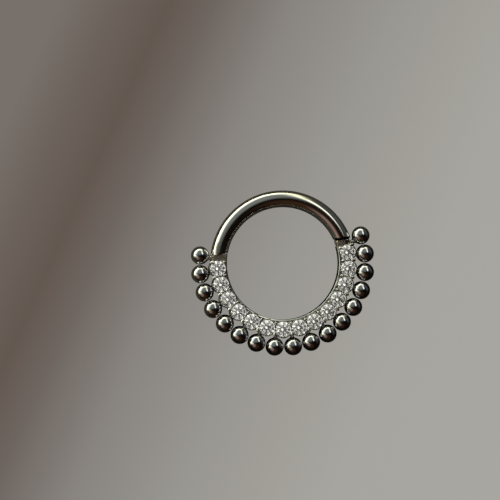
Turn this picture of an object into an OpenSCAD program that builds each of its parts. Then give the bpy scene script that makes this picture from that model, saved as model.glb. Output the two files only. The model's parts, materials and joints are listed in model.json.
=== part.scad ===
// Hinged clicker ring for a piercing: a plain round wire that swings on a pin, and a
// front-facing arc with claw-set round stones and a rim of soldered beads.
// Millimetres. The ring lies on its back: +Z is the front, -Y is the middle of the
// beaded arc, and the origin is the middle of the hole, on the surface it lies on.
// Angles along the ring run from the middle of the beaded arc, positive to the +X side.
// One straight cut across the ring, parallel to X, parts the wire from the beaded arc.

/* [Ring] */
// Inner diameter of the ring
inner_d = 8; // [8:0.05:8.1]
// Diameter of the round wire
wire_d = 1.2; // [1.18:0.01:1.22]
// Distance of the straight cut from the middle of the hole
seam_y = 1.185; // [1.18:0.005:1.2]
// Gap left by the cut
seam_gap = 0.04; // [0.03:0.01:0.05]

/* [Beads] */
// Number of beads on the rim
bead_count = 17; // [15:2:17]
// Diameter of one bead
bead_d = 1.29; // [1.26:0.01:1.29]
// Distance from the middle of the wire out to the circle of bead centres
bead_offset = 1.34; // [1.34:0.01:1.37]
// Angle between one bead and the next
bead_step = 12.83; // [12.8:0.01:12.86]
// Diameter of a bead's neck where it leaves the arc
neck_root_d = 0.22; // [0.18:0.02:0.26]
// Diameter of a bead's neck where it meets the bead
neck_tip_d = 0.36; // [0.3:0.02:0.4]

/* [Stones] */
// Number of stones
stone_count = 14; // [12:1:14]
// Girdle diameter of one stone
stone_d = 1.1; // [1.06:0.01:1.1]
// Angle between one stone and the next
stone_step = 14.28; // [14.26:0.01:14.3]
// Distance from the middle of the wire out to the circle of stone centres
stone_offset = 0.08; // [0.06:0.01:0.08]
// Width of the table as a share of the girdle
table_share = 0.56; // [0.52:0.01:0.62]
// Slope of the crown's main facets
crown_angle = 34.5; // [32:0.5:36]
// Slope of the pavilion's main facets
pavilion_angle = 40.8; // [40:0.2:42]

/* [Setting] */
// Height of the stones' girdles above the back
girdle_z = 1; // [0.98:0.01:1.02]
// Metal round each stone's seat
cup_wall = 0.082; // [0.078:0.002:0.084]
// Height of the floor between the cups
band_h = 0.58; // [0.5:0.02:0.6]
// Height of the thin rail along the hole
rail_h = 0.88; // [0.8:0.02:0.92]
// Height of the flat filed on the arc's plain ends, where it meets the cut
end_flat = 1.04; // [1.02:0.01:1.1]
// Diameter of a claw's stem
claw_d = 0.26; // [0.22:0.01:0.26]
// Diameter of a claw's rounded tip
claw_tip_d = 0.31; // [0.28:0.01:0.32]

/* [Hinge and clasp] */
// Diameter of the hinge pin
pin_d = 0.3; // [0.28:0.01:0.3]
// Distance of the pin below the cut
pin_inset = 0.21; // [0.2:0.005:0.21]
// Distance of the pin out from the middle of the wire
pin_shift = 0.2; // [0.19:0.01:0.21]
// Thickness of the flat tongues on the wire's ends
tongue_t = 0.34; // [0.3:0.02:0.34]
// Angle through which the wire opens
open_angle = 18; // [14:1:18]
// Length of the clasp's tongue
catch_l = 0.34; // [0.28:0.02:0.34]
// Width of the clasp's tongue
catch_w = 0.5; // [0.4:0.02:0.5]

/* [Hidden] */
$fn = 64;

gap = 0.02;          // clearance between pieces that don't move against each other
run = 0.02;          // radial running clearance of the hinge
catch_run = 0.03;    // clearance round the clasp's tongue
proud = 0.012;       // how far the back and the hole's rail stand clear of the wire's surface
deep = 10;           // reach of cutting tools past the ring

wire_r = wire_d / 2;
hole_r = inner_d / 2;
mid_r = hole_r + wire_r;                 // circle of the wire's middle
wire_z = wire_r + proud;
wire_end_y = seam_y + seam_gap / 2;      // end faces of the wire
arc_end_y = seam_y - seam_gap / 2;       // end faces of the beaded arc

bead_r = bead_d / 2;
bead_ring_r = mid_r + bead_offset;
bead_z = bead_r;                         // the beads touch the surface that the ring lies on
last_bead = bead_step * (bead_count - 1) / 2;
neck_root_r = hole_r + 0.9;              // where the necks start inside the arc
neck_sink = 0.2;                         // share of a bead's radius that its neck reaches into it
end_root = [[-5.05, 1.02], [5.03, 0.84]];   // where the first and the last neck start

stone_r = stone_d / 2;
stone_ring_r = mid_r + stone_offset;
last_stone = stone_step * (stone_count - 1) / 2;
girdle_t = stone_d * 0.026;
star_share = 0.5;                        // reach of the star facets from the table to the girdle
lower_share = 0.77;                      // reach of the lower facets from the girdle to the culet
table_r = stone_r * table_share;
crown_h = (stone_r - table_r) * tan(crown_angle);
pavilion_h = stone_r * tan(pavilion_angle);
star_r = (table_r * cos(22.5) + stone_r * star_share / (1 - star_share)) * (1 - star_share);
lower_r = stone_r * (1 - lower_share);

cup_r = stone_r + cup_wall;
cup_top = girdle_z - 0.005;
cup_foot_h = 0.15;                       // bevelled foot of each cup
cup_foot_r = cup_r - 0.13;
rim_bevel = 0.07;                        // bevel along the back edges of the band
band_w = 1;                              // radial width of the band
rail_w = 0.13;
rail_round = 0.03;
claw_z = girdle_z + 0.1;                 // middle of a claw's round tip
half_step = stone_step / 2;
claw_row_r = stone_ring_r * cos(half_step);
claw_spread = 0.37;                      // radial distance of a claw from the row of stones
end_claw = 5.2;                          // angle of the end claws past the end stones
end_claw_spread = 0.42;
end_fall = 8;                            // slope of the filed flat, down towards the stones

pin_r = pin_d / 2;
pin_proud = 0.008;                       // how far the pin's back end stands proud
head_r = pin_r + 0.03;                   // riveted end of the pin
head_h = 0.2;
hinge_y = seam_y - pin_inset;
pin_top = end_flat - (arc_end_y - hinge_y) * tan(end_fall) - wire_z;   // above the wire's middle
hinge_x = sqrt(mid_r * mid_r - hinge_y * hinge_y) + pin_shift;
knuckle_r = pin_r + run + 0.07;          // rounded end of the hinge's tongue
tongue_low = wire_z - tongue_t / 2;
tongue_root = 0.1;                       // how far the hinge's tongue reaches into the wire
catch_root = 0.2;                        // how far the clasp's tongue reaches into the wire
catch_x = -sqrt(mid_r * mid_r - seam_y * seam_y);

// Angle of stone i, counted from 0 at the clasp's end
function stone_at(i) = i * stone_step - last_stone;

// Angle of the claws before stone i, or after the last stone
function claw_at(i) =
    i == 0 ? -last_stone - end_claw :
    i == stone_count ? last_stone + end_claw : stone_at(i) - half_step;

// Distance of claw pair i's claws from the row of stones
function spread_at(i) = i == 0 || i == stone_count ? end_claw_spread : claw_spread;

// Angle of bead i, counted from 0 at the clasp's end
function bead_at(i) = i * bead_step - last_bead;

// Centre of bead i in the ring's plane
function bead_xy(i) = bead_ring_r * [sin(bead_at(i)), -cos(bead_at(i))];

// Start of bead i's neck: straight inward, and for the end beads the arc's corner
function root_xy(i) =
    i == 0 && bead_count == 17 ? end_root[0] :
    i == bead_count - 1 && bead_count == 17 ? end_root[1] :
    neck_root_r * [sin(bead_at(i)), -cos(bead_at(i))];

// Points evenly round a circle, the first at an angle of start
function ring_points(n, r, z, start) =
    [for (k = [0:n - 1]) [r * cos(start + k * 360 / n), r * sin(start + k * 360 / n), z]];

// Places its children on the ring: their +X points out and their +Y along the ring
module on_ring(angle, r) {
    rotate([0, 0, angle - 90]) translate([r, 0, 0]) children();
}

// Round bar of radius r bent along the ring between two angles
module bent_bar(from, to, r) {
    rotate([0, 0, from - 90])
        rotate_extrude(angle = to - from, $fn = 128)
            translate([mid_r, wire_z]) circle(r = r);
}

// Round brilliant on the origin, its girdle at z = 0, with a table, 8 stars, 8 kites,
// 16 upper facets, a girdle of 16 sides, 16 lower facets and 8 main pavilion facets
module brilliant() {
    top = girdle_t / 2;
    star_z = top + (stone_r - star_r * cos(22.5)) * tan(crown_angle);
    lower_z = -top - (stone_r - lower_r * cos(22.5)) * tan(pavilion_angle);
    points = concat(
        ring_points(8, table_r, top + crown_h, 0),
        ring_points(8, star_r, star_z, 22.5),
        ring_points(16, stone_r, top, 0),
        ring_points(16, stone_r, -top, 0),
        ring_points(8, lower_r, lower_z, 22.5),
        [[0, 0, -top - pavilion_h]]);
    table = 0;
    star = 8;
    upper = 16;
    lower = 32;
    main = 48;
    culet = 56;
    faces = concat(
        [[for (k = [7:-1:0]) table + k]],
        [for (k = [0:7]) [table + k, table + (k + 1) % 8, star + k]],
        [for (k = [0:7]) [table + k, star + k, upper + 2 * k, star + (k + 7) % 8]],
        [for (k = [0:7]) [star + k, upper + 2 * k + 1, upper + 2 * k]],
        [for (k = [0:7]) [star + k, upper + (2 * k + 2) % 16, upper + 2 * k + 1]],
        [for (k = [0:15]) [upper + k, upper + (k + 1) % 16, lower + (k + 1) % 16, lower + k]],
        [for (k = [0:7]) [main + k, lower + 2 * k, lower + 2 * k + 1]],
        [for (k = [0:7]) [main + k, lower + 2 * k + 1, lower + (2 * k + 2) % 16]],
        [for (k = [0:7]) [culet, main + (k + 7) % 8, lower + 2 * k, main + k]]);
    polyhedron(points = points, faces = faces);
}

// Stone i in its seat
module stone(i) {
    color("white", 0.6) on_ring(stone_at(i), stone_ring_r) translate([0, 0, girdle_z]) brilliant();
}

// Space that one stone needs in the metal, its axis on Z: seat, girdle, crown and the way in
module stone_space() {
    low = girdle_z - girdle_t / 2 - gap;
    high = girdle_z + girdle_t / 2 + gap;
    rotate_extrude() polygon([
        [0, low - pavilion_h - gap],
        [stone_r + gap, low],
        [stone_r + gap, high],
        [table_r + gap, high + crown_h],
        [table_r + gap, deep],
        [0, deep]]);
}

// Long band under the stones with the thin rail along the hole
module band() {
    reach = last_stone + half_step;
    wall_r = hole_r + proud;
    rotate([0, 0, -reach - 90]) rotate_extrude(angle = 2 * reach, $fn = 128)
        polygon([
            [wall_r + rim_bevel, 0],
            [hole_r + band_w - rim_bevel, 0],
            [hole_r + band_w, rim_bevel],
            [hole_r + band_w, band_h],
            [hole_r + rail_w, band_h],
            [hole_r + rail_w, rail_h - rail_round],
            [hole_r + rail_w - rail_round, rail_h],
            [wall_r + rail_round, rail_h],
            [wall_r, rail_h - rail_round],
            [wall_r, rim_bevel]]);
}

// Round cup that holds one stone
module cup() {
    cylinder(h = cup_foot_h, r1 = cup_foot_r, r2 = cup_r);
    translate([0, 0, cup_foot_h]) cylinder(h = cup_top - cup_foot_h, r = cup_r);
}

// Pair of claws beside a stone: an inner and an outer one with round tips
module claw_pair(spread) {
    for (side = [-1, 1])
        translate([side * spread, 0, 0]) {
            translate([0, 0, band_h / 2]) cylinder(h = claw_z - band_h / 2, r = claw_d / 2);
            translate([0, 0, claw_z]) sphere(r = claw_tip_d / 2);
        }
}

// Tapered neck that carries bead i
module neck(i) {
    way = bead_xy(i) - root_xy(i);
    length = norm(way) - bead_r * (1 - neck_sink);
    translate([root_xy(i)[0], root_xy(i)[1], bead_z])
        rotate([0, 90, atan2(way[1], way[0])])
            cylinder(h = length, r1 = neck_root_d / 2, r2 = neck_tip_d / 2);
}

// Space above the flat filed on the arc's ends
module above_flat() {
    translate([-deep, arc_end_y, end_flat]) rotate([end_fall, 0, 0])
        translate([0, -deep, 0]) cube(2 * deep);
}

// Plain end of the beaded arc, as thick as the wire but flat on top; side is 1 or -1
module arc_end(side) {
    start = last_stone + 4.8;
    difference() {
        bent_bar(side > 0 ? start : -start - 12, side > 0 ? start + 12 : -start, wire_r);
        translate([-deep, arc_end_y, -deep]) cube(2 * deep);
        above_flat();
        on_ring(side * last_stone, stone_ring_r)
            translate([0, 0, cup_top - gap]) cylinder(h = deep, r = stone_r + 2 * gap);
    }
}

// Room in the arc's end for the hinge's tongue, over the whole swing
module hinge_pocket() {
    r = knuckle_r + gap;
    rise = pin_inset + 0.2;
    slide = (rise + r * sin(open_angle)) / cos(open_angle);
    translate([hinge_x, hinge_y, tongue_low - gap]) {
        cylinder(h = tongue_t + 2 * gap, r = r);
        linear_extrude(height = tongue_t + 2 * gap) polygon([
            [-r, 0],
            [0, -r / 2],
            [r * cos(open_angle), -r * sin(open_angle)],
            [r * cos(open_angle) + slide * sin(open_angle), rise],
            [-r, rise]]);
    }
}

// Relief on the outer corner of the arc's end, which the wire's end face swings over
module swing_relief() {
    face = arc_end_y - hinge_y;
    translate([hinge_x, hinge_y, -deep / 2]) intersection() {
        cylinder(h = deep, r = 0.44);
        rotate([0, 0, -open_angle]) translate([0, face, 0]) cube(deep);
    }
}

// Tongue of the clasp, or with a clearance c the pocket that takes it
module catch_shape(c) {
    translate([catch_x - catch_w / 2 - c, seam_y - catch_l - c, tongue_low - c])
        cube([catch_w + 2 * c, catch_l + catch_root + c, tongue_t + 2 * c]);
}

// Fixed half: band, cups, claws, necks and beads, one casting
module setting_arc() {
    color("lightslategray") {
        difference() {
            union() {
                band();
                for (i = [0:stone_count - 1])
                    on_ring(stone_at(i), stone_ring_r) cup();
                for (i = [0:stone_count])
                    on_ring(claw_at(i), claw_row_r) claw_pair(spread_at(i));
                for (side = [-1, 1]) arc_end(side);
                for (i = [0:bead_count - 1]) neck(i);
            }
            for (i = [0:stone_count - 1])
                on_ring(stone_at(i), stone_ring_r) stone_space();
            hinge_pocket();
            swing_relief();
            catch_shape(catch_run);
            pin_shape(gap / 2);
        }
        for (i = [0:bead_count - 1])
            on_ring(bead_at(i), bead_ring_r) translate([0, 0, bead_z]) sphere(r = bead_r);
    }
}

// Tongue of the hinge
module hinge_tongue() {
    translate([hinge_x, hinge_y, tongue_low]) {
        cylinder(h = tongue_t, r = knuckle_r);
        translate([-knuckle_r, 0, 0])
            cube([2 * knuckle_r, wire_end_y - hinge_y + tongue_root, tongue_t]);
    }
}

// Moving half: the plain round wire with a tongue at each end
module hoop_wire() {
    color("silver") difference() {
        union() {
            difference() {
                bent_bar(100, 260, wire_r);
                translate([-deep, wire_end_y - 2 * deep, -deep]) cube(2 * deep);
            }
            hinge_tongue();
            catch_shape(0);
        }
        translate([hinge_x, hinge_y, -deep / 2]) cylinder(h = deep, r = pin_r + run);
    }
}

// Straight pin with flared ends, or with a clearance c the hole that takes it
module pin_shape(c) {
    translate([hinge_x, hinge_y, wire_z]) {
        translate([0, 0, -wire_r - deep / 2]) cylinder(h = wire_d + deep, r = pin_r + c);
        for (end = [[0, pin_top], [180, wire_r]])
            rotate([end[0], 0, 0]) translate([0, 0, end[1] + gap - head_h])
                cylinder(h = head_h, r1 = pin_r + c, r2 = head_r + c);
    }
}

// Hinge pin, one riveted end flush with the flat, the other dressed to the wire's curve
module hinge_pin() {
    color("gray") difference() {
        intersection() {
            pin_shape(0);
            bent_bar(95, 110, wire_r + pin_proud);
        }
        above_flat();
    }
}

setting_arc();
hoop_wire();
hinge_pin();
for (i = [0:stone_count - 1])
    stone(i);
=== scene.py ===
"""Looks of a hinged clicker ring: polished steel, round stones, a studio and a camera.

Lengths inside the classes are millimetres and are turned to metres when a piece is made.
Angles along the ring run from the middle of the beaded arc, positive to the hinge's side.
"""

import json
import logging
import math
from collections.abc import Callable, Iterable, Iterator, Sequence
from dataclasses import dataclass, field
from enum import Enum

import bmesh
import bpy
import numpy as np
from mathutils import Matrix, Vector

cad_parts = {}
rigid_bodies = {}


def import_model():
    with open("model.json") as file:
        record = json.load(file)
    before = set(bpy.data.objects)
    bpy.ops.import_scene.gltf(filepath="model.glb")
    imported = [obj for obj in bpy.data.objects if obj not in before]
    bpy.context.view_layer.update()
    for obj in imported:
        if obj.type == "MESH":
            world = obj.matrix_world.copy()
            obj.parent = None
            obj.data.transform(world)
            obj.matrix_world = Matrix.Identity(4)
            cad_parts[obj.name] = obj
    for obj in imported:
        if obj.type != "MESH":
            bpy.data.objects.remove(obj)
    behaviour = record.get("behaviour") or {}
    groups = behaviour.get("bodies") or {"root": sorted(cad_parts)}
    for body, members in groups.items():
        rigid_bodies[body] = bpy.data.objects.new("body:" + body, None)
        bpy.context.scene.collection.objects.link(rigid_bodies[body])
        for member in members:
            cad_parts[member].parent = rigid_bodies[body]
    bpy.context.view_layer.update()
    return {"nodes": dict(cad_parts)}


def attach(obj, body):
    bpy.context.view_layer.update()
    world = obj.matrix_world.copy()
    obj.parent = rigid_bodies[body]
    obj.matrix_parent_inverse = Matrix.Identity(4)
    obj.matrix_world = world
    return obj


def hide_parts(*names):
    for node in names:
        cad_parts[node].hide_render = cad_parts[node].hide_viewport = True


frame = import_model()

MM = 0.001
# Points of a mesh that lie closer than this are merged, in millimetres.
WELD = 1e-4
# A profile's point nearer the axis than this lies on it, in millimetres.
ON_AXIS = 1e-9
# Edges steeper than this stay crisp, in degrees.
CRISP = 38.0
LOG = logging.getLogger("clicker_ring")


class Body(Enum):
    """The two halves that the hinge joins."""

    ARC = "beaded_arc"
    HOOP = "hoop"


class Side(Enum):
    """The two ends of the beaded arc, by the sign of X."""

    CLASP = -1
    HINGE = 1


# Shapes


@dataclass
class Shape:
    """A mesh in the making, in millimetres."""

    points: np.ndarray
    faces: list[tuple[int, ...]]

    def moved(self, matrix: Matrix) -> "Shape":
        """Moves the shape.

        Args:
            matrix: the move, in millimetres.

        Returns:
            The moved copy.
        """
        turn = np.array(matrix, float)
        return Shape(self.points @ turn[:3, :3].T + turn[:3, 3], list(self.faces))

    def stretched(self, x: float, y: float, z: float) -> "Shape":
        """Returns a copy scaled along the three axes."""
        return Shape(self.points * np.array([x, y, z]), list(self.faces))

    def joined(self, *others: "Shape") -> "Shape":
        """Puts shapes into one, without merging their surfaces.

        Args:
            others: the shapes to add.

        Returns:
            One shape with all of them.
        """
        points, faces = [self.points], list(self.faces)
        count = len(self.points)
        for other in others:
            points.append(other.points)
            faces += [tuple(i + count for i in face) for face in other.faces]
            count += len(other.points)
        return Shape(np.vstack(points), faces)

    def mesh(self, name: str) -> bpy.types.Mesh:
        """Makes a Blender mesh, its faces turned outward.

        Args:
            name: the mesh's name.

        Returns:
            The mesh, in metres.
        """
        mesh = bpy.data.meshes.new(name)
        mesh.from_pydata((self.points * MM).tolist(), [], self.faces)
        made = bmesh.new()
        made.from_mesh(mesh)
        bmesh.ops.remove_doubles(made, verts=made.verts, dist=WELD * MM)
        bmesh.ops.recalc_face_normals(made, faces=made.faces)
        made.to_mesh(mesh)
        made.free()
        return mesh

    def combined(self, operation: str, *others: "Shape") -> "Shape":
        """Cuts this shape by others, or keeps what they share, with exact booleans.

        Args:
            operation: DIFFERENCE, INTERSECT or UNION.
            others: the shapes to work with.

        Returns:
            What is left.
        """
        scene = bpy.context.scene.collection.objects
        base = bpy.data.objects.new("work", self.mesh("work"))
        scene.link(base)
        tools = []
        for other in others:
            tool = bpy.data.objects.new("tool", other.mesh("tool"))
            scene.link(tool)
            tools.append(tool)
            modifier = base.modifiers.new("cut", "BOOLEAN")
            modifier.operation = operation
            modifier.solver = "EXACT"
            modifier.object = tool
        result = base.evaluated_get(bpy.context.evaluated_depsgraph_get()).to_mesh()
        points = np.array([v.co for v in result.vertices], float).reshape(-1, 3) / MM
        faces = [tuple(p.vertices) for p in result.polygons]
        for item in [base, *tools]:
            data = item.data
            bpy.data.objects.remove(item)
            bpy.data.meshes.remove(data)
        return Shape(points, faces)

    def cut(self, *others: "Shape") -> "Shape":
        """Returns what is left after the other shapes are taken away."""
        return self.combined("DIFFERENCE", *others)

    def piece(self, name: str, finish: "Finish", body: Body, nodes: Sequence[str],
              slot: str) -> bpy.types.Object:
        """Makes a piece of the scene from the shape.

        Args:
            name: the piece's name.
            finish: what its surface is made of.
            body: the half that it moves with.
            nodes: the solids that it stands for.
            slot: the record's material slot; not used.

        Returns:
            The new object.
        """
        mesh = self.mesh(name)
        mesh.polygons.foreach_set("use_smooth", [True] * len(mesh.polygons))
        mesh.set_sharp_from_angle(angle=math.radians(CRISP))
        mesh.materials.append(finish.material())
        item = bpy.data.objects.new(name, mesh)
        bpy.context.scene.collection.objects.link(item)
        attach(item, body.value)
        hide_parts(*nodes)
        LOG.info("%s: %d faces, on %s", name, len(mesh.polygons), body.value)
        return item


def lathe(profile: Sequence[tuple[float, float]], segments: int = 48) -> Shape:
    """Turns a profile about Z.

    Args:
        profile: pairs of radius and height; a profile that misses the axis is closed.
        segments: sides of the turned shape.

    Returns:
        The turned shape.
    """
    points: list[tuple[float, float, float]] = []
    rings: list[list[int]] = []
    for radius, height in profile:
        count = segments if radius > ON_AXIS else 1
        first = len(points)
        for k in range(count):
            turn = 2 * math.pi * k / segments
            points.append((radius * math.cos(turn), radius * math.sin(turn), height))
        rings.append([first + k % count for k in range(segments)])
    closed = profile[0][0] > ON_AXIS
    pairs = list(zip(rings, rings[1:])) + ([(rings[-1], rings[0])] if closed else [])
    faces = []
    for low, high in pairs:
        for k in range(segments):
            n = (k + 1) % segments
            corners = dict.fromkeys((low[k], low[n], high[n], high[k]))
            if len(corners) > 2:
                faces.append(tuple(corners))
    return Shape(np.array(points), faces)


def loft(rings: Sequence[Sequence[tuple[float, float, float]]]) -> Shape:
    """Skins closed rings of the same count of points and caps both ends.

    Args:
        rings: the rings, in order.

    Returns:
        The closed shape.
    """
    count = len(rings[0])
    points = np.array([p for ring in rings for p in ring], float)
    faces: list[tuple[int, ...]] = [tuple(range(count))]
    for r in range(len(rings) - 1):
        for k in range(count):
            n = (k + 1) % count
            low, high = r * count, (r + 1) * count
            faces.append((low + k, low + n, high + n, high + k))
    last = (len(rings) - 1) * count
    faces.append(tuple(last + k for k in range(count)))
    return Shape(points, faces)


def prism(outline: Sequence[tuple[float, float]], low: float, high: float) -> Shape:
    """Stands an outline up between two heights.

    Args:
        outline: the outline's corners, in order.
        low: the lower height.
        high: the upper height.

    Returns:
        The closed shape.
    """
    return loft([[(x, y, z) for x, y in outline] for z in (low, high)])


def rounded(outline: Sequence[tuple[float, float]], radius: float,
            steps: int = 3) -> list[tuple[float, float]]:
    """Rounds the corners of a closed outline.

    Args:
        outline: the corners, in order.
        radius: how far from each corner its round starts.
        steps: sides of each round.

    Returns:
        The outline's points.
    """
    corners = [Vector(p) for p in outline]
    made = []
    for k, corner in enumerate(corners):
        before, after = corners[k - 1], corners[(k + 1) % len(corners)]
        reach = min(radius, (before - corner).length / 2, (after - corner).length / 2)
        start = corner + (before - corner).normalized() * reach
        end = corner + (after - corner).normalized() * reach
        for s in range(steps + 1):
            t = s / steps
            made.append(tuple(start.lerp(corner, t).lerp(corner.lerp(end, t), t)))
    return made


def circle(radius: float, count: int, middle: tuple[float, float] = (0, 0),
           start: float = 0.0, end: float = 360.0) -> list[tuple[float, float]]:
    """Gives points round a circle or an arc of it.

    Args:
        radius: the circle's radius.
        count: how many points.
        middle: the circle's middle.
        start: the first point's angle, in degrees.
        end: where the arc ends; a full circle leaves this point out.

    Returns:
        The points.
    """
    parts = count if abs(end - start) >= 360 else count - 1
    turns = [math.radians(start + (end - start) * k / parts) for k in range(count)]
    return [(middle[0] + radius * math.cos(t), middle[1] + radius * math.sin(t)) for t in turns]


# Shared sizes


@dataclass(frozen=True)
class Ring:
    """Sizes that all sub-assemblies of the ring share, in millimetres and degrees."""

    hole_r: float = 4.0
    wire_r: float = 0.6
    proud: float = 0.012
    seam_y: float = 1.185
    seam_gap: float = 0.04
    stone_count: int = 14
    stone_step: float = 14.28
    stone_offset: float = 0.08
    stone_r: float = 0.55
    table_share: float = 0.56
    crown_angle: float = 34.5
    pavilion_angle: float = 40.8
    girdle_z: float = 1.0
    girdle_share: float = 0.026
    cup_wall: float = 0.082
    gap: float = 0.02
    hinge_drop: float = 0.21
    hinge_shift: float = 0.2
    open_angle: float = 18.0
    tongue_t: float = 0.34
    knuckle_r: float = 0.24
    swing_r: float = 0.44
    past_cut: float = 0.2
    catch_w: float = 0.5
    catch_l: float = 0.34
    catch_room: float = 0.03
    catch_round: float = 0.05
    flat_top: float = 1.04
    flat_fall: float = 8.0
    seam_bevels: tuple[float, float] = (0.03, 0.1)

    @property
    def mid_r(self) -> float:
        """Radius of the wire's middle."""
        return self.hole_r + self.wire_r

    @property
    def wire_z(self) -> float:
        """Height of the wire's middle."""
        return self.wire_r + self.proud

    @property
    def arc_face(self) -> float:
        """Y of the arc's end faces."""
        return self.seam_y - self.seam_gap / 2

    @property
    def wire_face(self) -> float:
        """Y of the wire's end faces."""
        return self.seam_y + self.seam_gap / 2

    @property
    def stone_ring_r(self) -> float:
        """Radius of the circle of stones."""
        return self.mid_r + self.stone_offset

    @property
    def cup_r(self) -> float:
        """Outer radius of a stone's cup."""
        return self.stone_r + self.cup_wall

    @property
    def seat_z(self) -> float:
        """Height of the seat's edge, just under a stone's girdle."""
        return self.girdle_z - self.stone_r * self.girdle_share - self.gap

    @property
    def pavilion_depth(self) -> float:
        """Depth of a stone below its girdle."""
        return self.stone_r * math.tan(math.radians(self.pavilion_angle))

    @property
    def last_stone(self) -> float:
        """Angle of the last stone."""
        return self.stone_step * (self.stone_count - 1) / 2

    @property
    def hinge(self) -> tuple[float, float]:
        """Place of the hinge's axis."""
        y = self.seam_y - self.hinge_drop
        return math.sqrt(self.mid_r**2 - y * y) + self.hinge_shift, y

    @property
    def catch_x(self) -> float:
        """Middle of the clasp's tongue."""
        return -math.sqrt(self.mid_r**2 - self.seam_y**2)

    @property
    def tongue_low(self) -> float:
        """Underside of both tongues."""
        return self.wire_z - self.tongue_t / 2

    def flat(self, y: float) -> float:
        """Height of the filed flat on the arc's ends, which falls towards the stones."""
        return self.flat_top - (self.arc_face - y) * math.tan(math.radians(self.flat_fall))

    def above_flat(self) -> Shape:
        """Gives what filing takes off both ends of the arc.

        Returns:
            The shape to take away.
        """
        near, far, top, side = 0.0, 2.0, 3.0, 7.0
        section = [(near, self.flat(near)), (far, self.flat(far)), (far, top), (near, top)]
        return loft([[(x, y, z) for y, z in section] for x in (-side, side)])

    def stone_at(self, i: int) -> float:
        """Angle of stone i, counted from 0 at the clasp's end."""
        return i * self.stone_step - self.last_stone

    def place(self, angle: float, radius: float, z: float = 0.0) -> Matrix:
        """Gives a place on the ring.

        Args:
            angle: the angle along the ring.
            radius: the distance from the ring's axis.
            z: the height.

        Returns:
            A move whose X points out of the ring and whose Y runs along it.
        """
        turn = Matrix.Rotation(math.radians(angle - 90), 4, "Z")
        return turn @ Matrix.Translation((radius, 0, z))

    def stone_space(self) -> Shape:
        """Gives the space that one stone needs in the metal.

        Returns:
            The space, its axis on Z.
        """
        gap, low = self.gap, self.seat_z
        high = self.girdle_z + self.stone_r * self.girdle_share + gap
        table = self.stone_r * self.table_share
        crown = (self.stone_r - table) * math.tan(math.radians(self.crown_angle))
        top = high + 1
        return lathe([
            (0, low - self.pavilion_depth - gap),
            (self.stone_r + gap, low),
            (self.stone_r + gap, high),
            (table + gap, high + crown),
            (table + gap, top),
            (0, top),
        ], 64)

    def stone_rooms(self, numbers: Iterable[int]) -> list[Shape]:
        """Gives the space that some of the stones need, each in its place.

        Args:
            numbers: the stones' numbers from 0; those past either end of the row are left out.

        Returns:
            The spaces.
        """
        space = self.stone_space()
        return [space.moved(self.place(self.stone_at(i), self.stone_ring_r))
                for i in numbers if 0 <= i < self.stone_count]

    def hinge_pocket(self) -> Shape:
        """Gives the room for the hinge's tongue over its whole swing.

        Returns:
            The shape to take out of the arc.
        """
        gap = self.gap
        r, rise = self.knuckle_r + gap, self.hinge_drop + self.past_cut
        turn = math.radians(self.open_angle)
        slide = (rise + r * math.sin(turn)) / math.cos(turn)
        side = (r * math.cos(turn), -r * math.sin(turn))
        outline = [
            *circle(r, 24, (0, 0), 180, 360 - self.open_angle),
            (side[0] + slide * math.sin(turn), side[1] + slide * math.cos(turn)),
            (-r, rise),
        ]
        shape = prism(outline, self.tongue_low - gap, self.tongue_low + self.tongue_t + gap)
        return shape.moved(Matrix.Translation((*self.hinge, 0)))

    def swing_relief(self) -> Shape:
        """Gives the room over the arc's outer corner for the wire's end as it swings.

        Returns:
            The shape to take away.
        """
        face = self.arc_face - self.hinge[1]
        span, past, wide, far = (-0.5, 2.0), (-1.0, 3.0), 1.0, 1.5
        round_bar = prism(circle(self.swing_r, 96), *span)
        half = prism([(-wide, face), (wide, face), (wide, far), (-wide, far)], *past)
        half = half.moved(Matrix.Rotation(math.radians(-self.open_angle), 4, "Z"))
        return round_bar.combined("INTERSECT", half).moved(Matrix.Translation((*self.hinge, 0)))

    def catch(self, room: float, edge: float = 0.0) -> Shape:
        """Tongue of the clasp, or with some room the pocket that takes it.

        Args:
            room: clearance on every side.
            edge: bevel on the tongue's end.

        Returns:
            The tongue's shape.
        """
        wide, thick = self.catch_w / 2 + room, self.tongue_t / 2 + room
        low, high = self.seam_y - self.catch_l - room, self.seam_y + self.past_cut
        rings = []
        for y, less in ((low, edge), (low + edge, 0.0), (high, 0.0)):
            w, t = wide - less, thick - less
            rings.append([
                (self.catch_x + x, y, self.wire_z + z)
                for x, z in rounded([(-w, -t), (w, -t), (w, t), (-w, t)], self.catch_round)
            ])
        return loft(rings[1:] if not edge else rings)

    def plane_angle(self, y: float) -> Callable[[float], float]:
        """Gives the angle at which a circle of some radius meets a cut parallel to X.

        Args:
            y: where the cut is.

        Returns:
            A function from radius to angle on the hinge's side.
        """
        return lambda radius: math.degrees(math.acos(-y / radius))

    @staticmethod
    def bevel(face: float, size: float) -> list[tuple[float, float]]:
        """Gives the two rings of points that round the edge of a bar's end.

        Args:
            face: Y of the end face.
            size: the bevel's size, less than nothing where the bar lies below its face.

        Returns:
            For each ring its Y and how much thinner the bar is there, the face last.
        """
        return [(face + size / 3, abs(size) / 4), (face, abs(size))]

    def bar(self, stations: Sequence[tuple[Callable[[float], float], float]],
            sides: int = 72) -> Shape:
        """Bends a round bar along the ring.

        Args:
            stations: for each ring of points, the angle as a function of the radius, and
                how much thinner the bar is there.
            sides: points round the bar.

        Returns:
            The closed bar.
        """
        rings = []
        for angle_of, less in stations:
            ring = []
            for radius, z in circle(self.wire_r - less, sides, (self.mid_r, self.wire_z)):
                turn = math.radians(angle_of(radius))
                ring.append((radius * math.sin(turn), -radius * math.cos(turn), z))
            rings.append(ring)
        return loft(rings)


# Finishes


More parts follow.
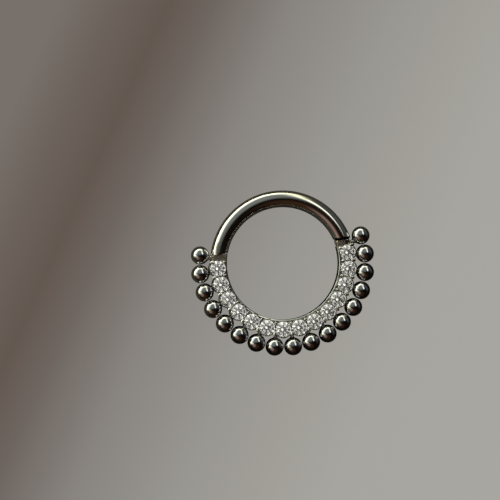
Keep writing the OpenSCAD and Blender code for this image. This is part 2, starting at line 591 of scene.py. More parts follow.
class Nodes:
    """Short ways to wire a tree of shader nodes."""

    def __init__(self, tree: bpy.types.NodeTree) -> None:
        """Takes the tree to wire."""
        self.tree = tree

    def add(self, kind: str, **values: object) -> bpy.types.Node:
        """Adds a node.

        Args:
            kind: the node's type without its ShaderNode prefix.
            values: its settings, and its inputs by name with spaces as underscores.

        Returns:
            The node.
        """
        node = self.tree.nodes.new("ShaderNode" + kind)
        for key, value in values.items():
            if hasattr(node, key):
                setattr(node, key, value)
            else:
                self.feed(node.inputs[key.replace("_", " ")], value)
        return node

    def feed(self, socket: bpy.types.NodeSocket, value: object) -> None:
        """Links a socket to another, or sets its value.

        Args:
            socket: the input.
            value: an output to link, or a plain value.
        """
        if isinstance(value, bpy.types.NodeSocket):
            self.tree.links.new(value, socket)
        else:
            socket.default_value = value

    def math(self, operation: str, *values: object) -> bpy.types.NodeSocket:
        """Adds a sum of one to three values.

        Args:
            operation: the operation's name.
            values: numbers or outputs.

        Returns:
            The result's output.
        """
        node = self.tree.nodes.new("ShaderNodeMath")
        node.operation = operation
        for socket, value in zip(node.inputs, values):
            self.feed(socket, value)
        return node.outputs[0]

    def ramp(self, value: object, low: float, high: float, to_low: float, to_high: float,
             curve: str = "SMOOTHSTEP") -> bpy.types.NodeSocket:
        """Maps a range to another.

        Args:
            value: the value to map.
            low: where the range starts.
            high: where it ends.
            to_low: what its start becomes.
            to_high: what its end becomes.
            curve: SMOOTHSTEP or LINEAR.

        Returns:
            The result's output.
        """
        node = self.add("MapRange", interpolation_type=curve)
        for socket, item in zip(node.inputs, (value, low, high, to_low, to_high)):
            self.feed(socket, item)
        return node.outputs[0]

    def dot(self, place: bpy.types.NodeSocket, way: Sequence[float]) -> bpy.types.NodeSocket:
        """Measures how far a point lies along a direction.

        Args:
            place: the point.
            way: the direction.

        Returns:
            The result's output.
        """
        node = self.add("VectorMath", operation="DOT_PRODUCT")
        self.feed(node.inputs[0], place)
        node.inputs[1].default_value = way
        return node.outputs["Value"]

    def blend(self, share: object, first: object, second: object) -> bpy.types.NodeSocket:
        """Mixes two colours.

        Args:
            share: how much of the second.
            first: the first colour.
            second: the second colour.

        Returns:
            The mixed colour's output.
        """
        node = self.add("Mix", data_type="RGBA")
        for key, item in zip((0, 6, 7), (share, first, second)):
            self.feed(node.inputs[key], item)
        return node.outputs[2]

    def choose(self, share: object, first: bpy.types.NodeSocket,
               second: bpy.types.NodeSocket) -> bpy.types.NodeSocket:
        """Mixes two shaders.

        Args:
            share: how much of the second.
            first: the first shader.
            second: the second shader.

        Returns:
            The mixed shader's output.
        """
        node = self.add("MixShader", Fac=share)
        self.feed(node.inputs[1], first)
        self.feed(node.inputs[2], second)
        return node.outputs[0]


class Surface(Nodes):
    """The nodes of a new material."""

    def __init__(self, name: str) -> None:
        """Starts the material.

        Args:
            name: the material's name.
        """
        self.material = bpy.data.materials.new(name)
        self.material.use_nodes = True
        super().__init__(self.material.node_tree)
        self.shader = next(n for n in self.tree.nodes if n.type == "BSDF_PRINCIPLED")

    def show(self, shader: bpy.types.NodeSocket) -> None:
        """Puts a shader in the place of the material's own."""
        end = next(node for node in self.tree.nodes if node.type == "OUTPUT_MATERIAL")
        self.feed(end.inputs[0], shader)


@dataclass(frozen=True)
class Finish:
    """A surface finish."""

    name: str

    def material(self) -> bpy.types.Material:
        """Gives the finish's material, made once.

        Returns:
            The material.
        """
        return bpy.data.materials.get(self.name) or self.build()

    def build(self) -> bpy.types.Material:
        """Makes the material."""
        raise NotImplementedError


@dataclass(frozen=True)
class Steel(Finish):
    """Polished steel with soft unevenness and clouding.

    Drawn wire also has long marks, and its side towards the hole is rougher and has painted shade
    in its colour. Ranges give the values of a noise between which its effect rises to the full.
    Painted shade, standing for the shadow in the hinge's seam, sits round a line a little above
    the hinge's cut: its rise, its half width at full strength and where it ends, and how far out
    of the wire's middle it reaches.
    """

    colour: tuple[float, float, float] = (0.62, 0.61, 0.595)
    stain_and_shade: tuple[float, float, float] = (0.47, 0.445, 0.41)
    stain_share: float = 0.5
    stain_range: tuple[float, float] = (0.5, 0.75)
    roughness: float = 0.09
    cloud: float = 0.06
    cloud_mm: float = 0.9
    cloud_range: tuple[float, float] = (0.42, 0.68)
    wave_mm: float = 0.4
    wave_depth: float = 0.0008
    grain_mm: float = 0.08
    drawn: bool = False
    mark_depth: float = 0.0002
    mark_scales: tuple[float, float] = (2.5, 9.0)
    mark_dull: float = 0.12
    mark_dull_range: tuple[float, float] = (0.45, 0.75)
    mark_stain_range: tuple[float, float] = (0.5, 0.8)
    # The side towards the hole is rougher, and its colour is painted darker there as shade.
    inner_dull: float = 0.32
    inner_mm: tuple[float, float] = (-0.45, -0.37)
    # Painted shade along the hinge's seam, for its shadow: its colour, where it lies and how far
    # out it reaches.
    seam_shade: tuple[float, float, float] = (0.02, 0.016, 0.012)
    seam_shade_mm: tuple[float, float, float] = (0.05, 0.06, 0.13)
    seam_shade_out: float = 0.5
    ring: Ring = field(default_factory=Ring)

    def build(self) -> bpy.types.Material:
        """Makes the material.

        Returns:
            The steel's material.
        """
        n = Surface(self.name)
        place = n.add("TexCoord").outputs["Object"]
        wave = n.add("TexNoise", Vector=place, Scale=1 / (self.wave_mm * MM), Detail=1.0)
        cloud = n.add("TexNoise", Vector=place, Scale=1 / (self.cloud_mm * MM), Detail=4.0,
                      Roughness=0.6)
        grain = n.add("TexNoise", Vector=place, Scale=1 / (self.grain_mm * MM), Detail=2.0)
        bump = n.add("Bump", Distance=self.wave_depth * MM, Height=wave.outputs[0],
                     Strength=1.0)
        height = grain.outputs[0]
        dull = n.ramp(cloud.outputs[0], *self.cloud_range, 0.0, self.cloud)
        stain_and_shade = n.ramp(cloud.outputs[0], *self.stain_range, 0.0, self.stain_share)
        if self.drawn:
            along, out = self.along(n, place)
            marks = n.add("TexNoise", Vector=along, Scale=1.0, Detail=3.0, Roughness=0.7)
            height = marks.outputs[0]
            # Towards the hole: more roughness, and painted shade that turns the colour to the
            # darker one.
            inner = n.ramp(out, *(mm * MM for mm in self.inner_mm), 1.0, 0.0)
            dull = n.math("ADD", dull, n.math("MULTIPLY", inner, self.inner_dull))
            dull = n.math("ADD", dull, n.ramp(height, *self.mark_dull_range, 0.0,
                                              self.mark_dull))
            stain_and_shade = n.math("ADD", stain_and_shade, n.ramp(height, *self.mark_stain_range, 0.0,
                                                self.stain_share))
            # Painted shade on the side towards the hole, added to the real stains.
            stain_and_shade = n.math("ADD", stain_and_shade, inner)
        fine = n.add("Bump", Distance=self.mark_depth * MM, Height=height, Strength=1.0,
                     Normal=bump.outputs[0])
        n.feed(n.shader.inputs["Normal"], fine.outputs[0])
        n.feed(n.shader.inputs["Roughness"], n.math("ADD", dull, self.roughness))
        metal = n.blend(stain_and_shade, (*self.colour, 1), (*self.stain_and_shade, 1))
        # The seam's painted shade is mixed over the metal's colour.
        n.feed(n.shader.inputs["Base Color"],
               n.blend(self.joint(n, place), metal, (*self.seam_shade, 1)))
        n.shader.inputs["Metallic"].default_value = 1.0
        return n.material

    def joint(self, n: Surface, place: bpy.types.NodeSocket) -> bpy.types.NodeSocket:
        """Gives the share of painted shade, which stands for the shadow in the hinge's seam.

        Args:
            n: the material's nodes.
            place: the point in the object's space.

        Returns:
            The share.
        """
        x, y, _ = n.add("SeparateXYZ", Vector=place).outputs
        rise, near, far = self.seam_shade_mm
        away = n.math("ABSOLUTE", n.math("SUBTRACT", y, (self.ring.seam_y + rise) * MM))
        inside = n.math("MULTIPLY", n.math("GREATER_THAN", x, 0.0),
                        n.math("LESS_THAN", x, (self.ring.mid_r + self.seam_shade_out) * MM))
        return n.math("MULTIPLY", n.ramp(away, near * MM, far * MM, 1.0, 0.0), inside)

    def along(self, n: Surface, place: bpy.types.NodeSocket
              ) -> tuple[bpy.types.NodeSocket, bpy.types.NodeSocket]:
        """Gives coordinates that stretch the marks along the wire.

        Args:
            n: the material's nodes.
            place: the point in the object's space.

        Returns:
            A vector whose X runs along the wire and Y round it, and the distance of the
            point out from the circle of the wire's middle.
        """
        x, y, z = n.add("SeparateXYZ", Vector=place).outputs
        run_scale, turn_scale = self.mark_scales
        run = n.math("MULTIPLY", n.math("ARCTAN2", x, y), run_scale)
        out = n.math("SUBTRACT", n.math("SQRT", n.math(
            "ADD", n.math("MULTIPLY", x, x), n.math("MULTIPLY", y, y))), self.ring.mid_r * MM)
        up = n.math("SUBTRACT", z, self.ring.wire_z * MM)
        turn = n.math("MULTIPLY", n.math("ARCTAN2", up, out), turn_scale)
        return n.add("CombineXYZ", X=run, Y=turn).outputs[0], out


@dataclass(frozen=True)
class ClearStone(Finish):
    """Clear, strongly refracting stone with polished facets, its colour darker towards the
    hinge's side.
    """

    colour: tuple[float, float, float] = (1.0, 0.995, 0.98)
    cloudy: tuple[float, float, float] = (0.95, 0.95, 0.97)
    cloud_mm: float = 0.5
    cloud_range: tuple[float, float] = (0.4, 0.65)
    hinge_side_grey: tuple[float, float, float] = (0.80, 0.805, 0.79)
    hinge_side_mm: tuple[float, float] = (-2.5, 3.5)
    bend: float = 2.15

    def build(self) -> bpy.types.Material:
        """Makes the material.

        Returns:
            The stone's material.
        """
        n = Surface(self.name)
        place = n.add("TexCoord").outputs["Object"]
        cloud = n.add("TexNoise", Vector=place, Scale=1 / (self.cloud_mm * MM), Detail=2.0)
        clear = n.blend(n.ramp(cloud.outputs[0], *self.cloud_range, 0.0, 1.0),
                        (*self.colour, 1), (*self.cloudy, 1))
        # The colour turns darker towards the hinge's side, along X.
        hinge_side_share = n.ramp(n.add("SeparateXYZ", Vector=place).outputs[0],
                      *(mm * MM for mm in self.hinge_side_mm), 0.0, 1.0)
        n.feed(n.shader.inputs["Base Color"], n.blend(hinge_side_share, clear, (*self.hinge_side_grey, 1)))
        n.shader.inputs["Roughness"].default_value = 0.0
        n.shader.inputs["IOR"].default_value = self.bend
        n.shader.inputs["Transmission Weight"].default_value = 1.0
        return n.material


@dataclass(frozen=True)
class Paper(Finish):
    """Matt floor that glows softly where the camera sees it and is dim in reflections.

    The tones are millimetres across the floor and the glow's colour there, from left to right
    along a way that is tilted from the picture's own; their dark band is a painted shadow. The
    floor's colour, which the steel mirrors, is painted shade: it turns from dim to the albedo
    over the dim reach, in millimetres along the dim way.
    """

    albedo: tuple[float, float, float] = (0.16, 0.152, 0.136)
    dim: tuple[float, float, float] = (0.022, 0.019, 0.016)
    dim_way: tuple[float, float, float] = (-0.447, 0.894, 0.0)
    dim_reach: tuple[float, float] = (-4.5, 2.5)
    tones: tuple[tuple[float, tuple[float, float, float]], ...] = (
        (-22.0, (0.200, 0.172, 0.154)),
        (-18.5, (0.160, 0.130, 0.114)),
        (-15.0, (0.133, 0.103, 0.086)),
        (-12.0, (0.168, 0.140, 0.126)),
        (-7.0, (0.265, 0.247, 0.230)),
        (0.0, (0.345, 0.333, 0.312)),
        (5.0, (0.386, 0.370, 0.340)),
        (10.0, (0.418, 0.407, 0.378)),
        (20.0, (0.428, 0.415, 0.388)),
    )
    fibre_scale: float = 300.0
    lit_share: float = 0.92
    tilt: float = 24.0
    right: tuple[float, float, float] = (0.991, -0.131, 0.0)

    def build(self) -> bpy.types.Material:
        """Makes the material.

        Returns:
            The floor's material.
        """
        n = Surface(self.name)
        place = n.add("TexCoord").outputs["Object"]
        fibre = n.add("TexNoise", Vector=place, Scale=self.fibre_scale, Detail=3.0)
        uneven = n.math("MULTIPLY", fibre.outputs[0], MM)
        # Painted shade: the floor's colour is dim on one side of the dim way and full on the
        # other.
        shade = n.ramp(n.math("ADD", n.dot(place, self.dim_way), uneven),
                       *(reach * MM for reach in self.dim_reach), 0.0, 1.0)
        n.feed(n.shader.inputs["Base Color"],
               n.blend(shade, (*self.dim, 1), (*self.albedo, 1)))
        n.shader.inputs["Roughness"].default_value = 1.0
        n.shader.inputs["Specular IOR Level"].default_value = 0.0
        turn = Matrix.Rotation(math.radians(-self.tilt), 3, "Z")
        across = n.dot(place, turn @ Vector(self.right))
        # The glow's tones, with a painted shadow in their dark band.
        low, high = self.tones[0][0], self.tones[-1][0]
        tone = n.add("ValToRGB", Fac=n.math("DIVIDE", n.math("SUBTRACT", across, low * MM),
                                            (high - low) * MM))
        stops = tone.color_ramp.elements
        for at, _ in self.tones[1:-1]:
            stops.new((at - low) / (high - low))
        for stop, (at, colour) in zip(stops, self.tones):
            stop.position, stop.color = (at - low) / (high - low), (*colour, 1)
        glow = n.add("Emission", Color=tone.outputs[0], Strength=1.0)
        seen = n.math("MULTIPLY", n.add("LightPath").outputs["Is Camera Ray"], self.lit_share)
        n.show(n.choose(seen, n.shader.outputs[0], glow.outputs[0]))
        return n.material


# The beaded arc


ARC_NODES = ("setting_arc",)
ARC_SLOT = "setting_steel"


@dataclass
class SeatBand:
    """Long band under the stones with the thin rail along the hole, and its round ends."""

    ring: Ring
    steel: Steel
    filed: Steel
    low_r: float = 4.012
    high_r: float = 5.0
    height: float = 0.58
    rail_w: float = 0.1
    rail_h: float = 0.86
    rail_rise: float = 0.05
    section_round: float = 0.03
    collar: tuple[float, float] = (0.004, 0.03)
    collar_in: float = 0.03
    steps: int = 200
    end_start: float = 4.8
    end_steps: int = 10
    crown_low: float = 0.975
    crown_room: float = 0.04

    def cutters(self) -> list[Shape]:
        """Shapes that the stones, the hinge and the clasp take out of the band."""
        ring = self.ring
        return [*ring.stone_rooms(range(ring.stone_count)), ring.hinge_pocket(),
                ring.catch(ring.catch_room)]

    def band(self) -> Shape:
        """Sweeps the band's section along the stones.

        Returns:
            The band before it is cut.
        """
        section = rounded([
            (self.low_r, 0), (self.high_r, 0), (self.high_r, self.height),
            (self.hole_side(), self.height), (self.hole_side(), self.rail_h + self.rail_rise),
            (self.low_r, self.rail_h),
        ], self.section_round)
        reach = self.ring.last_stone + self.ring.stone_step / 2
        rings = []
        for k in range(self.steps + 1):
            turn = math.radians(-reach + 2 * reach * k / self.steps)
            rings.append([(r * math.sin(turn), -r * math.cos(turn), z) for r, z in section])
        return loft(rings)

    def hole_side(self) -> float:
        """Radius of the rail's outer face."""
        return self.low_r + self.rail_w

    def end(self, side: Side) -> Shape:
        """Makes one plain round end of the arc.

        Args:
            side: which end.

        Returns:
            The end, cut for the stone, the hinge or the clasp.
        """
        ring, c = self.ring, self.ring.seam_bevels[side is Side.HINGE]
        start, face = ring.last_stone + self.end_start, ring.arc_face
        stations = [(lambda radius, t=t: start + t * (
            ring.plane_angle(face - c)(radius) - start), 0.0)
            for t in np.linspace(0, 1, self.end_steps)]
        stations += [(ring.plane_angle(y), less) for y, less in ring.bevel(face, -c)]
        if side is Side.HINGE:
            stations += [(ring.plane_angle(face + y), self.collar_in) for y in self.collar]
        bar = ring.bar(stations)
        if side is Side.CLASP:
            bar = bar.stretched(-1, 1, 1)
        at = ring.place(side.value * ring.last_stone, ring.stone_ring_r)
        low, high, wide = self.crown_low, 2.0, ring.stone_r + self.crown_room
        crown = lathe([(0, low), (wide, low), (wide, high), (0, high)], 64)
        joint = [ring.catch(ring.catch_room)] if side is Side.CLASP else [
            HingePin.hole(ring), ring.hinge_pocket(), ring.swing_relief()]
        for tool in (ring.above_flat(), *joint, crown.moved(at), ring.stone_space().moved(at)):
            bar = bar.cut(tool)
        return bar

    def build(self) -> None:
        """Makes the band and the two ends."""
        band = self.band().cut(*self.cutters())
        band.piece("seat_band", self.steel, Body.ARC, ARC_NODES, ARC_SLOT)
        for side in Side:
            self.end(side).piece(f"arc_end_{side.name.lower()}", self.filed, Body.ARC,
                                 ARC_NODES, ARC_SLOT)


@dataclass
class StoneSeats:
    """Cups that hold the stones, and the claws between them.

    The two rows of tips are for the inner and the outer claws: half length, half width, half
    height, the middle's height, and how far they lean to the clasp's side, in degrees.
    """

    ring: Ring
    steel: Steel
    tip: Steel
    foot_h: float = 0.15
    foot_in: float = 0.13
    lip: float = 0.005
    claw_d: float = 0.2
    claw_low: float = 0.29
    claw_waist: float = 0.75
    claw_sides: int = 28
    tips: tuple[tuple[float, float, float, float, float], ...] = (
        (0.13, 0.11, 0.075, 1.09, -25.0), (0.185, 0.125, 0.08, 1.11, 25.0))
    spread: float = 0.37
    end_spread: float = 0.42
    end_angle: float = 5.2

    def cup(self, i: int) -> Shape:
        """Turns the cup of stone i and cuts what its neighbours and the joints need.

        Args:
            i: the stone's number from 0.

        Returns:
            The cup in its place.
        """
        ring = self.ring
        top, r = ring.girdle_z - self.lip, ring.cup_r
        inner, foot = ring.stone_r + ring.gap, r - self.foot_in
        depth = ring.pavilion_depth + ring.gap
        profile = [
            (0, 0), (foot - 0.02, 0), (foot + 0.01, 0.012),
            (r - 0.015, self.foot_h - 0.02), (r, self.foot_h + 0.02), (r, top - 0.034),
            (r - 0.008, top - 0.014), (r - 0.022, top - 0.003), (r - 0.032, top),
            (inner + 0.022, top - 0.003), (inner + 0.006, top - 0.012), (inner, top - 0.025),
            (inner, ring.seat_z), (0, ring.seat_z - depth),
        ]
        at = ring.place(ring.stone_at(i), ring.stone_ring_r)
        cutters = ring.stone_rooms((i - 1, i + 1))
        if i == 0:
            cutters.append(ring.catch(ring.catch_room))
        if i == ring.stone_count - 1:
            cutters.append(ring.hinge_pocket())
        return lathe(profile, 64).moved(at).cut(*cutters)

    def claw(self, out: float) -> Shape:
        """Turns one claw with its domed tip.

        Args:
            out: how far out of the row of stones it stands, less than nothing for inward.

        Returns:
            The claw, on the row's own place.
        """
        r, low, sides = self.claw_d / 2, self.claw_low, self.claw_sides
        long, wide, high, z, lean = self.tips[out > 0]
        stem = lathe([(0, low), (r, low), (r * 0.96, self.claw_waist), (r * 0.98, z), (0, z)],
                     sides)
        ball = [(math.sin(t), -math.cos(t)) for t in np.linspace(0, math.pi, 17)]
        ball[0], ball[-1] = (0, -1), (0, 1)
        tip = lathe(ball, sides).stretched(long, wide, high)
        tip = tip.moved(Matrix.Translation((0, 0, z)) @ Matrix.Rotation(
            math.radians(lean), 4, "X"))
        both = stem.combined("UNION", tip)
        return both.moved(Matrix.Translation((out, 0, 0)))

    def claws(self) -> Iterator[tuple[str, Shape]]:
        """Gives each claw with its name.

        Yields:
            The name and the shape in its place.
        """
        ring = self.ring
        row_r = ring.stone_ring_r * math.cos(math.radians(ring.stone_step / 2))
        for i in range(ring.stone_count + 1):
            at_end = i in (0, ring.stone_count)
            angle = ring.stone_at(i) - ring.stone_step / 2
            if at_end:
                angle = math.copysign(ring.last_stone + self.end_angle, i - 1)
            spread = self.end_spread if at_end else self.spread
            near = ring.stone_rooms((i - 1, i))
            for side, out in (("inner", -spread), ("outer", spread)):
                shape = self.claw(out).moved(ring.place(angle, row_r)).cut(*near)
                yield f"claw_{side}_{i + 1:02d}", shape

    def build(self) -> None:
        """Makes the cups and the claws."""
        for i in range(self.ring.stone_count):
            self.cup(i).piece(f"stone_cup_{i + 1:02d}", self.steel, Body.ARC, ARC_NODES,
                              ARC_SLOT)
        for name, shape in self.claws():
            shape.piece(name, self.tip, Body.ARC, ARC_NODES, ARC_SLOT)


@dataclass
class BeadRim:
    """Row of beads on the arc's rim, each on its own soldered neck.

    A neck is a foot, a short flare down to the neck itself and a curve out to the bead. The
    two curve points give how much wider than the neck it is there, and how far from the
    bead's middle.
    """

    ring: Ring
    steel: Steel
    count: int = 17
    bead_r: float = 0.645
    step: float = 12.83
    offset: float = 1.34
    neck_r: float = 0.12
    end_neck_r: float = 0.16
    foot_r: float = 0.19
    root_r: float = 4.9
    wall_least: float = 5.0
    end_roots: tuple[tuple[float, float], tuple[float, float]] = ((-5.05, 1.02), (5.03, 0.84))
    end_foot: float = 0.14
    least_foot: float = 0.05
    foot_sunk: float = 0.02
    flare: float = 0.09
    curve: tuple[tuple[float, float], tuple[float, float]] = ((0.012, 0.71), (0.03, 0.632))
    meet_angle: float = 24.0

    def centre(self, i: int) -> Vector:
        """Gives the middle of a bead.

        Args:
            i: the bead's number, from 0 at the clasp's end.

        Returns:
            The place, seen from above.
        """
        turn = math.radians((i - (self.count - 1) / 2) * self.step)
        radius = self.ring.mid_r + self.offset
        return Vector((radius * math.sin(turn), -radius * math.cos(turn)))

    def wall(self, i: int) -> float:
        """Finds how far out the stones' cups reach where bead i is soldered on.

        Args:
            i: the bead's number from 0.

        Returns:
            The wall's distance from the ring's axis.
        """
        ring = self.ring
        angle = (i - (self.count - 1) / 2) * self.step
        nearest = min(abs(angle - ring.stone_at(j)) for j in range(ring.stone_count))
        turn = math.radians(nearest)
        across = ring.stone_ring_r * math.sin(turn)
        if across >= ring.cup_r:
            return self.root_r
        return max(ring.stone_ring_r * math.cos(turn) + math.sqrt(ring.cup_r**2 - across**2),
                   self.wall_least)

    def bead(self, i: int) -> Shape:
        """Turns bead i with its neck about the neck's own axis.

        Args:
            i: the bead's number from 0.

        Returns:
            The bead in its place.
        """
        middle = self.centre(i)
        ends = {0: self.end_roots[0], self.count - 1: self.end_roots[1]}
        root = Vector(ends.get(i, tuple(middle.normalized() * self.root_r)))
        way = middle - root
        long, r = way.length, self.bead_r
        foot = self.end_foot if i in ends else max(self.wall(i) - self.root_r, self.least_foot)
        thin = self.end_neck_r if i in ends else self.neck_r
        meet = math.radians(self.meet_angle)
        join = (r * math.sin(meet), long - r * math.cos(meet))
        (start_out, start_in), (bend_out, bend_in) = self.curve
        bend = (thin + bend_out, long - bend_in)
        start = (thin + start_out, min(long - start_in, bend[1]))
        profile = [(0, -self.foot_sunk), (self.foot_r, -self.foot_sunk),
                   (self.foot_r, min(foot, start[1] - self.least_foot))]
        flare_end = min(foot + self.flare, start[1])
        for t in (0.25, 0.5, 0.75, 1.0):
            share = (1 - t) ** 2
            profile.append((thin + (self.foot_r - thin) * share,
                            profile[2][1] + (flare_end - profile[2][1]) * t))
        for t in np.linspace(0.0, 1.0, 7):
            a = [start[k] + (bend[k] - start[k]) * t for k in (0, 1)]
            b = [bend[k] + (join[k] - bend[k]) * t for k in (0, 1)]
            profile.append(tuple(a[k] + (b[k] - a[k]) * t for k in (0, 1)))
        for t in np.linspace(meet, math.pi, 40)[1:-1]:
            profile.append((r * math.sin(t), long - r * math.cos(t)))
        profile.append((0, long + r))
        turn = Matrix.Rotation(math.atan2(way.y, way.x), 4, "Z") @ Matrix.Rotation(
            math.pi / 2, 4, "Y")
        return lathe(profile, 64).moved(Matrix.Translation((*root, r)) @ turn)

    def build(self) -> None:
        """Makes the beads."""
        for i in range(self.count):
            self.bead(i).piece(f"bead_{i + 1:02d}", self.steel, Body.ARC, ARC_NODES, ARC_SLOT)


# Hinge, wire and stones


@dataclass
class HingePin:
    """Straight pin of the hinge, its flared ends dressed to the curve of the wire.

    The rows of the dressing give how much narrower than the head each ring of points is, and
    how far it dips. The necks are the heights at which the lower and upper end flare.
    """

    ring: Ring
    steel: Steel
    pin_r: float = 0.15
    head_r: float = 0.18
    proud: float = 0.008
    dressing: tuple[tuple[float, float], ...] = (
        (0.06, 0.0), (0.02, -0.002), (0.005, -0.012), (0.0, -0.035))
    necks: tuple[float, float] = (0.42, 0.24)
    sides: int = 48

    @staticmethod
    def hole(ring: Ring) -> Shape:
        """Gives the hole for the pin, with a groove round its top end and a flare below.

        Args:
            ring: the ring's sizes.

        Returns:
            The shape to take away.
        """
        bore, past = 0.16, 0.79
        high = [(0, past), (0.25, past), (0.245, 0.39), (0.215, 0.31), (bore, 0.25)]
        low = [(bore, -0.4), (0.19, -0.53), (0.235, -0.59), (0.39, -past), (0, -past)]
        at = Matrix.Translation((*ring.hinge, ring.wire_z))
        return lathe([*high, *low], HingePin.sides).moved(at)

    def surface(self, x: float, y: float, sign: int) -> float:
        """Gives how far the dressed end stands from the wire's middle.

        Args:
            x: place on the end, from the hinge's axis.
            y: the same along Y.
            sign: 1 for the top end, -1 for the lower one.

        Returns:
            The distance.
        """
        ring = self.ring
        out = math.hypot(x + ring.hinge[0], y + ring.hinge[1]) - ring.mid_r
        far = math.sqrt((ring.wire_r + self.proud) ** 2 - out * out)
        return far if sign < 0 else min(far, ring.flat(y + ring.hinge[1]) - ring.wire_z)

    def build(self) -> None:
        """Makes the pin."""
        rings = []
        for sign, neck in zip((-1, 1), self.necks):
            ends = [[(x, y, sign * (self.surface(x, y, sign) + dip))
                     for x, y in circle(self.head_r - less, self.sides)]
                    for less, dip in self.dressing]
            stem = [[(x, y, sign * z) for x, y in circle(radius, self.sides)]
                    for radius, z in ((self.pin_r + 0.005, neck), (self.pin_r, neck - 0.03),
                                      (self.pin_r, 0.1))]
            rings += [*ends, *stem] if sign < 0 else [*reversed(stem), *reversed(ends)]
        shape = loft(rings).moved(Matrix.Translation((*self.ring.hinge, self.ring.wire_z)))
        shape.piece("hinge_pin_dressed", self.steel, Body.ARC, ("hinge_pin",), "pin_steel")


@dataclass
class HoopWire:
    """The plain round wire that swings, with the tongues of the hinge and the clasp."""

    ring: Ring
    steel: Steel
    steps: int = 180
    bore_r: float = 0.17
    root: float = 0.1
    end_sides: int = 24
    root_sides: int = 8
    tongue_edge: float = 0.03

    def wire(self) -> Shape:
        """Bends the wire between its two end faces.

        Returns:
            The wire without its tongues.
        """
        ring, face = self.ring, self.ring.wire_face
        far_c, near_c = ring.seam_bevels
        near, far = ring.plane_angle(face + near_c), ring.plane_angle(face + far_c)
        stations = [(ring.plane_angle(y), less) for y, less in reversed(ring.bevel(face, near_c))]
        for t in np.linspace(0, 1, self.steps + 1):
            stations.append((lambda radius, t=t: (1 - t) * near(radius) + t * (
                360 - far(radius)), 0.0))
        for y, less in ring.bevel(face, far_c):
            edge = ring.plane_angle(y)
            stations.append((lambda radius, edge=edge: 360 - edge(radius), less))
        return ring.bar(stations, 96)

    def hinge_tongue(self) -> Shape:
        """Makes the flat tongue with the rounded end and the bore.

        Returns:
            The tongue in its place.
        """
        ring, r = self.ring, self.ring.knuckle_r
        rise, parts = ring.wire_face - ring.hinge[1] + self.root, self.root_sides
        outer = [*circle(r, self.end_sides + 1, (0, 0), 180, 360), (r, rise / 2), (r, rise)]
        outer += [(-r * (2 * k / parts - 1), rise) for k in range(1, parts + 1)]
        outer.append((-r, rise / 2))
        count = len(outer)
        turns = [math.atan2(y, x) for x, y in outer]
        inner = [(self.bore_r * math.cos(t), self.bore_r * math.sin(t)) for t in turns]
        low, high = ring.tongue_low, ring.tongue_low + ring.tongue_t
        loops = [(inner, low), (outer, low), (outer, high), (inner, high)]
        points = [(x, y, z) for loop, z in loops for x, y in loop]
        faces = []
        for a in range(len(loops)):
            b = (a + 1) % len(loops)
            for k in range(count):
                n = (k + 1) % count
                faces.append((a * count + k, a * count + n, b * count + n, b * count + k))
        return Shape(np.array(points), faces).moved(Matrix.Translation((*ring.hinge, 0)))

    def build(self) -> None:
        """Makes the wire and its tongues."""
        shape = self.wire().joined(self.hinge_tongue(), self.ring.catch(0.0, self.tongue_edge))
        shape.piece("hoop_wire_bent", self.steel, Body.HOOP, ("hoop_wire",), "wire_steel")


@dataclass
class Stones:
    """The round brilliants, whose facets come from the solids."""

    finish: ClearStone

    def build(self) -> None:
        """Dresses every stone."""
        for name, item in sorted(frame["nodes"].items()):
            if name.startswith("stone_"):
                item.data.materials.clear()
                item.data.materials.append(self.finish.material())
                LOG.info("%s: dressed", name)


# Studio


def mirrored(x: float, y: float) -> Vector:
    """Gives where a polished bead sends the camera's ray.

    Args:
        x: place on the bead's disc, its edge at 1, to the camera's right.
        y: place on the bead's disc, upward.

    Returns:
        The direction, in the camera's axes.
    """
    up = math.sqrt(1 - x * x - y * y)
    return Vector((2 * x * up, 2 * y * up, 2 * up * up - 1))


